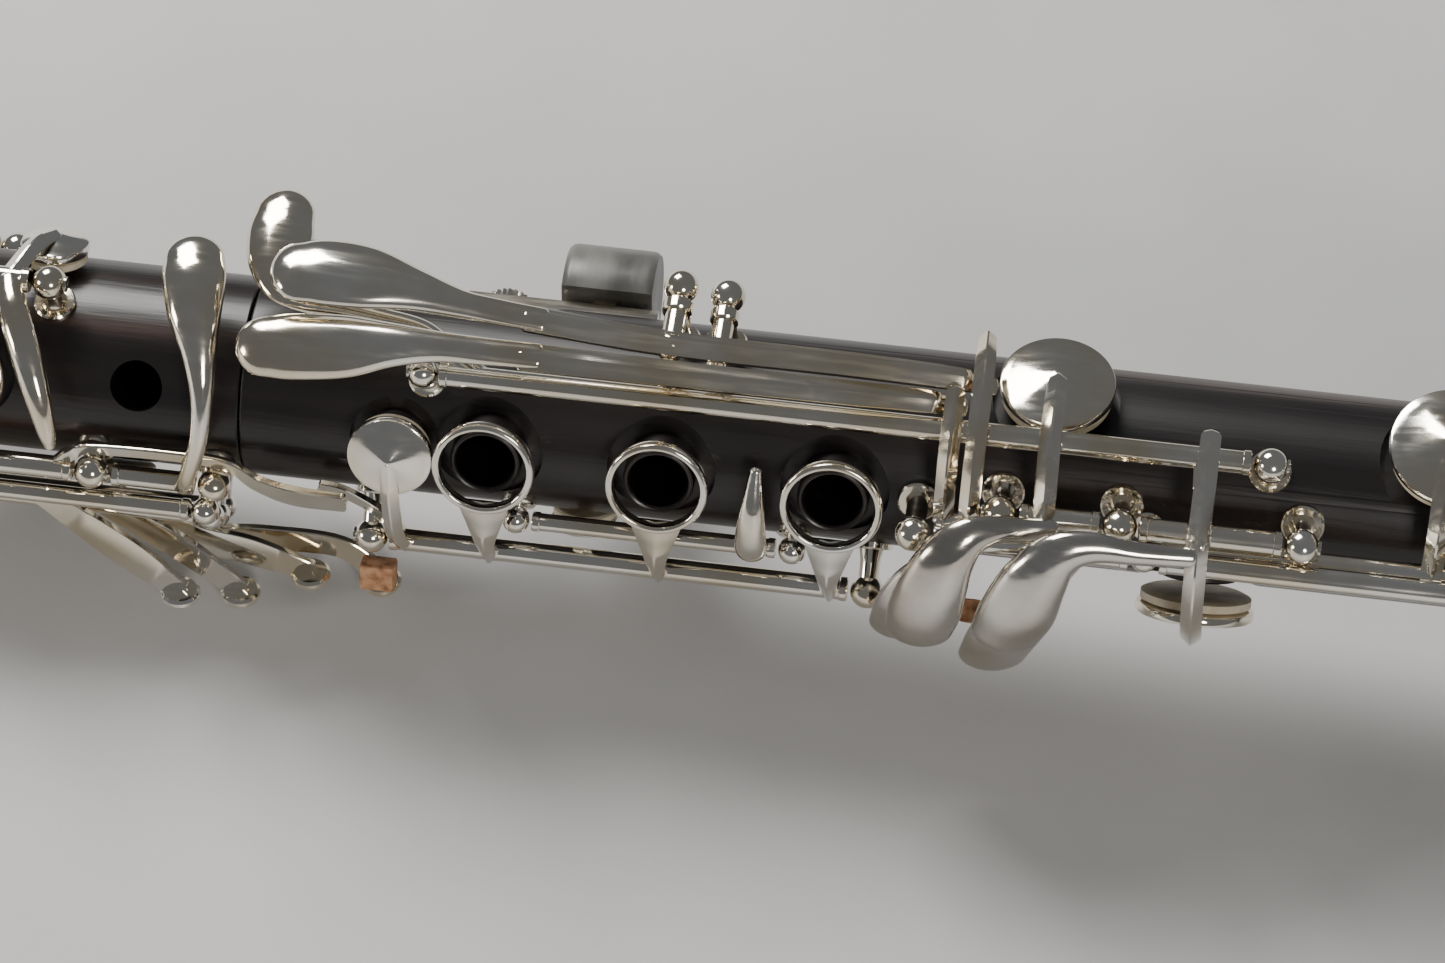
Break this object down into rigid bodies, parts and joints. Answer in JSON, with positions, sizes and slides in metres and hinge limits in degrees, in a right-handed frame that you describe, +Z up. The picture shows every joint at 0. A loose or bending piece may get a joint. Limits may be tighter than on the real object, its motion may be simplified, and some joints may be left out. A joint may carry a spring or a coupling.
{
  "type": "clarinet",
  "caption": "Whole Boehm-system soprano clarinet lying on its side, with silver-plated keywork that moves on its own hinges.",
  "frame": {"origin": "centre of the underside of the bounding box, on the ground", "axes": "+X towards the bell, +Z up, -Y is the side its front faces"},
  "size_m": [0.6682, 0.0798, 0.0811],
  "materials": {
    "grenadilla": "oiled satin",
    "silver_plate": "polished silver plate",
    "ebonite": "polished hard rubber",
    "cane": "bare cane",
    "cork": "bare cork",
    "pad": "matt skin",
    "rubber": "translucent silicone"
  },
  "bodies": {
    "instrument": {"mouthpiece": "ebonite", "mouthpiece_tenon_cork": "cork", "reed": "cane", "ligature": "silver_plate", "ligature_screw_upper": "silver_plate", "ligature_screw_lower": "silver_plate", "barrel": "grenadilla", "barrel_ring_upper": "silver_plate", "barrel_ring_lower": "silver_plate", "upper_joint": "grenadilla", "upper_tenon_cork": "cork", "middle_tenon_cork": "cork", "lower_joint": "grenadilla", "lower_tenon_cork": "cork", "bell": "grenadilla", "bell_socket_ring": "silver_plate", "bell_rim_ring": "silver_plate", "thumb_rest": "silver_plate", "thumb_rest_cushion": "rubber", "thumb_rest_screw": "silver_plate"},
    "register_key": {"register_key": "silver_plate", "register_pad": "pad"},
    "thumb_ring_key": {"thumb_ring_key": "silver_plate", "thumb_ring_pad": "pad"},
    "upper_ring_key": {"upper_ring_key": "silver_plate", "upper_ring_pad": "pad"},
    "throat_a_key": {"throat_a_key": "silver_plate", "throat_a_pad": "pad"},
    "throat_g_sharp_key": {"throat_g_sharp_key": "silver_plate", "throat_g_sharp_pad": "pad"},
    "side_key_1": {"side_key_1": "silver_plate", "side_pad_1": "pad"},
    "side_key_2": {"side_key_2": "silver_plate", "side_pad_2": "pad"},
    "side_key_3": {"side_key_3": "silver_plate", "side_pad_3": "pad"},
    "side_key_4": {"side_key_4": "silver_plate", "side_pad_4": "pad"},
    "e_flat_sliver_key": {"e_flat_b_flat_sliver_key": "silver_plate", "sliver_pad": "pad"},
    "c_sharp_key": {"c_sharp_g_sharp_key": "silver_plate", "c_sharp_pad": "pad"},
    "lower_ring_key": {"lower_ring_key": "silver_plate", "lower_ring_pad": "pad"},
    "fork_key": {"b_f_sharp_fork_key": "silver_plate", "fork_pad": "pad"},
    "a_flat_key": {"a_flat_e_flat_key": "silver_plate", "a_flat_pad": "pad"},
    "f_sharp_key": {"f_sharp_c_sharp_key": "silver_plate", "f_sharp_pad": "pad"},
    "f_c_key": {"f_c_key": "silver_plate"},
    "e_b_key": {"e_b_key": "silver_plate"},
    "f_c_pad_key": {"f_c_pad_key": "silver_plate", "f_c_pad": "pad"},
    "e_b_pad_key": {"e_b_pad_key": "silver_plate", "e_b_pad": "pad"},
    "left_lever_e_b": {"left_lever_e_b": "silver_plate"},
    "left_lever_f_c": {"left_lever_f_c": "silver_plate"},
    "left_lever_f_sharp": {"left_lever_f_sharp": "silver_plate"}
  },
  "joints": [
    {"name": "register_hinge", "type": "hinge", "parent": "instrument", "child": "register_key", "pos_m": [-0.11168, 0.01454, 0.01205], "axis": [0.0328, -0.6018, -0.798], "range_deg": [0, 2.4], "stiffness_Nm_per_rad": 0.02, "springref_deg": -20.05},
    {"name": "thumb_ring_hinge", "type": "hinge", "parent": "instrument", "child": "thumb_ring_key", "pos_m": [-0.05519, 0.017, 0.02563], "axis": [-0.9992, 0, -0.0411], "range_deg": [0, 5.5], "stiffness_Nm_per_rad": 0.02, "springref_deg": -20.05},
    {"name": "upper_ring_hinge", "type": "hinge", "parent": "instrument", "child": "upper_ring_key", "pos_m": [-0.05004, -0.01663, 0.022], "axis": [-0.9992, 0, -0.0411], "range_deg": [0, 5.2], "stiffness_Nm_per_rad": 0.02, "springref_deg": -20.05},
    {"name": "throat_a_hinge", "type": "hinge", "parent": "instrument", "child": "throat_a_key", "pos_m": [-0.1287, -0.01158, 0.03662], "axis": [-0.0258, 0.7771, 0.6288], "range_deg": [0, 2.4], "stiffness_Nm_per_rad": 0.02, "springref_deg": -20.05},
    {"name": "throat_g_sharp_hinge", "type": "hinge", "parent": "instrument", "child": "throat_g_sharp_key", "pos_m": [-0.10383, -0.00207, 0.04022], "axis": [0.9992, 0, 0.0411], "range_deg": [0, 12], "stiffness_Nm_per_rad": 0.02, "springref_deg": -20.05},
    {"name": "side_1_hinge", "type": "hinge", "parent": "instrument", "child": "side_key_1", "pos_m": [-0.08584, -0.01804, 0.01641], "axis": [0.9992, 0, 0.0411], "range_deg": [0, 4.2], "stiffness_Nm_per_rad": 0.02, "springref_deg": -20.05},
    {"name": "side_2_hinge", "type": "hinge", "parent": "instrument", "child": "side_key_2", "pos_m": [-0.07769, -0.01606, 0.01315], "axis": [0.9992, 0, 0.0411], "range_deg": [0, 6], "stiffness_Nm_per_rad": 0.02, "springref_deg": -20.05},
    {"name": "side_3_hinge", "type": "hinge", "parent": "instrument", "child": "side_key_3", "pos_m": [-0.06058, -0.01337, 0.01076], "axis": [0.9992, 0, 0.0411], "range_deg": [0, 7], "stiffness_Nm_per_rad": 0.02, "springref_deg": -20.05},
    {"name": "side_4_hinge", "type": "hinge", "parent": "instrument", "child": "side_key_4", "pos_m": [-0.05349, -0.01009, 0.00859], "axis": [0.9992, 0, 0.0411], "range_deg": [0, 7], "stiffness_Nm_per_rad": 0.02, "springref_deg": -20.05},
    {"name": "e_flat_sliver_hinge", "type": "hinge", "parent": "instrument", "child": "e_flat_sliver_key", "pos_m": [-0.03794, -0.00289, 0.04433], "axis": [0.9992, 0, 0.0411], "range_deg": [0, 8], "stiffness_Nm_per_rad": 0.02, "springref_deg": -20.05},
    {"name": "c_sharp_hinge", "type": "hinge", "parent": "instrument", "child": "c_sharp_key", "pos_m": [-0.01105, -0.0163, 0.02308], "axis": [-0.9992, 0, -0.0411], "range_deg": [0, 6], "stiffness_Nm_per_rad": 0.02, "springref_deg": -20.05},
    {"name": "lower_ring_hinge", "type": "hinge", "parent": "instrument", "child": "lower_ring_key", "pos_m": [0.05127, -0.01494, 0.01671], "axis": [-0.9992, 0, -0.0411], "range_deg": [0, 4], "stiffness_Nm_per_rad": 0.02, "springref_deg": -20.05},
    {"name": "fork_hinge", "type": "hinge", "parent": "instrument", "child": "fork_key", "pos_m": [0.05599, -0.01464, 0.02368], "axis": [-0.9992, 0, -0.0411], "range_deg": [0, 8], "stiffness_Nm_per_rad": 0.02, "springref_deg": -20.05},
    {"name": "a_flat_hinge", "type": "hinge", "parent": "instrument", "child": "a_flat_key", "pos_m": [0.10822, -0.01823, 0.04345], "axis": [0.9992, 0, 0.0411], "range_deg": [0, 5], "stiffness_Nm_per_rad": 0.02, "springref_deg": -20.05},
    {"name": "f_sharp_hinge", "type": "hinge", "parent": "instrument", "child": "f_sharp_key", "pos_m": [0.1272, -0.01823, 0.04423], "axis": [0.9992, 0, 0.0411], "range_deg": [0, 4], "stiffness_Nm_per_rad": 0.02, "springref_deg": -20.05},
    {"name": "f_c_hinge", "type": "hinge", "parent": "instrument", "child": "f_c_key", "pos_m": [0.10542, -0.01699, 0.03846], "axis": [0.9992, 0, 0.0411], "range_deg": [0, 4.6], "stiffness_Nm_per_rad": 0.02, "springref_deg": -20.05},
    {"name": "e_b_hinge", "type": "hinge", "parent": "instrument", "child": "e_b_key", "pos_m": [0.10537, -0.02035, 0.03975], "axis": [0.9992, 0, 0.0411], "range_deg": [0, 4], "stiffness_Nm_per_rad": 0.02, "springref_deg": -20.05},
    {"name": "f_c_pad_hinge", "type": "hinge", "parent": "instrument", "child": "f_c_pad_key", "pos_m": [0.14139, -0.01699, 0.03994], "axis": [-0.9992, 0, -0.0411], "range_deg": [0, 4.6]},
    {"name": "e_b_pad_hinge", "type": "hinge", "parent": "instrument", "child": "e_b_pad_key", "pos_m": [0.15932, -0.02035, 0.04197], "axis": [-0.9992, 0, -0.0411], "range_deg": [0, 4]},
    {"name": "left_lever_e_b_hinge", "type": "hinge", "parent": "instrument", "child": "left_lever_e_b", "pos_m": [0.05552, -0.00173, 0.04962], "axis": [0.0036, -0.9962, -0.0871], "range_deg": [0, 2.09]},
    {"name": "left_lever_f_c_hinge", "type": "hinge", "parent": "instrument", "child": "left_lever_f_c", "pos_m": [0.06176, -0.00164, 0.04888], "axis": [0.0036, -0.9962, -0.0871], "range_deg": [0, 2.55]},
    {"name": "left_lever_f_sharp_hinge", "type": "hinge", "parent": "instrument", "child": "left_lever_f_sharp", "pos_m": [0.07905, -0.00925, 0.04688], "axis": [-0.9992, 0, -0.0411], "range_deg": [0, 7.1]}
  ],
  "couplings": [
    {"joint": "f_c_pad_hinge", "follows": "f_c_hinge", "ratio": 1},
    {"joint": "e_b_pad_hinge", "follows": "e_b_hinge", "ratio": 1},
    {"joint": "left_lever_e_b_hinge", "follows": "e_b_hinge", "ratio": 0.52},
    {"joint": "left_lever_f_c_hinge", "follows": "f_c_hinge", "ratio": 0.553},
    {"joint": "left_lever_f_sharp_hinge", "follows": "f_sharp_hinge", "ratio": 1.77}
  ]
}
